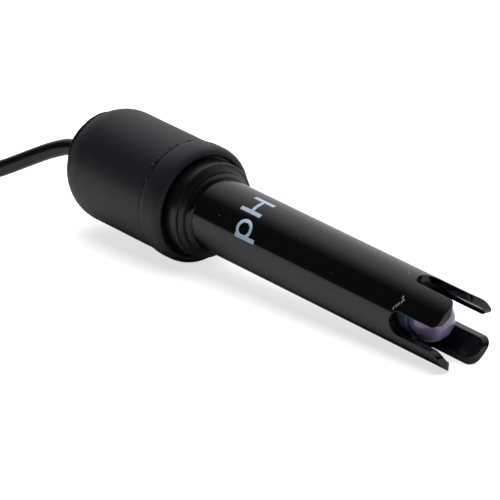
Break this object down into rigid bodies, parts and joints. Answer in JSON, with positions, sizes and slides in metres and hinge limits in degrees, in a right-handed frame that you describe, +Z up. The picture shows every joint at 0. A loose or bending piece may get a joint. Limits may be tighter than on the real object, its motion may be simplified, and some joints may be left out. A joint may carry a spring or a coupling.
{
  "type": "ph electrode",
  "caption": "Combination pH electrode with a slotted guard round its glass bulb, a rubber grip and a coaxial lead that ends in a bayonet plug.",
  "frame": {"origin": "on the surface that the electrode lies on, under the middle of the electrode's own box, without its lead", "axes": "+X from the lead towards the bulb, +Z up; the electrode lies nose down by about 3.6 degrees in the XZ plane"},
  "size_m": [0.2267, 0.0244, 0.0204],
  "materials": {
    "body_plastic": "moulded black polycarbonate, semi-gloss",
    "collar_plastic": "moulded black plastic, satin",
    "grip_rubber": "moulded dark grey rubber, satin",
    "ph_glass": "blown glass, clear with a faint violet cast",
    "silicone": "translucent bluish silicone",
    "epoxy": "black epoxy",
    "ceramic": "porous white ceramic",
    "electrolyte": "clear buffer and salt gel",
    "silver": "drawn silver wire, chloride-coated at its end",
    "copper": "tinned copper and crimped sleeves",
    "core_insulation": "white polythene",
    "lead_jacket": "black vinyl jacket, satin",
    "tie_vinyl": "black vinyl-coated wire tie",
    "nickel": "nickel-plated brass",
    "gold": "gold-plated brass",
    "gasket_rubber": "red silicone",
    "boot_rubber": "black moulded rubber"
  },
  "bodies": {
    "electrode": {"body_tube": "body_plastic", "collar": "collar_plastic", "grip_sleeve": "grip_rubber", "front_ring": "grip_rubber", "grommet": "grip_rubber", "glass_electrode": "ph_glass", "neck_sleeve": "silicone", "tip_seal": "epoxy", "rear_seal": "epoxy", "potting": "epoxy", "stem_bung": "epoxy", "junction": "ceramic", "inner_buffer": "electrolyte", "reference_gel": "electrolyte", "silver_wire": "silver", "reference_wire": "silver", "coax_strand": "copper", "braid_tail": "copper", "inner_splice": "copper", "reference_splice": "copper", "coax_core": "core_insulation", "plug_insulator": "core_insulation", "cord": "lead_jacket", "cord_hank": "lead_jacket", "cord_tail": "lead_jacket", "plug_lead_end": "lead_jacket", "cord_tie": "tie_vinyl", "plug_body": "nickel", "plug_ferrule": "nickel", "plug_pin": "gold", "plug_gasket": "gasket_rubber", "plug_boot": "boot_rubber"},
    "coupling_washer": {"thrust_washer": "nickel"},
    "coupling": {"coupling_sleeve": "nickel"}
  },
  "joints": [
    {"name": "coupling_take_up", "type": "slide", "parent": "electrode", "child": "coupling_washer", "axis": [-0.9827, 0, 0.1854], "range_m": [0, 0.0004], "stiffness_N_per_m": 1500, "springref_m": -0.0002},
    {"name": "coupling_turn", "type": "hinge", "parent": "coupling_washer", "child": "coupling", "pos_m": [-0.17138, -0.0072, 0.00844], "axis": [-0.9827, 0, 0.1854], "continuous": true}
  ]
}
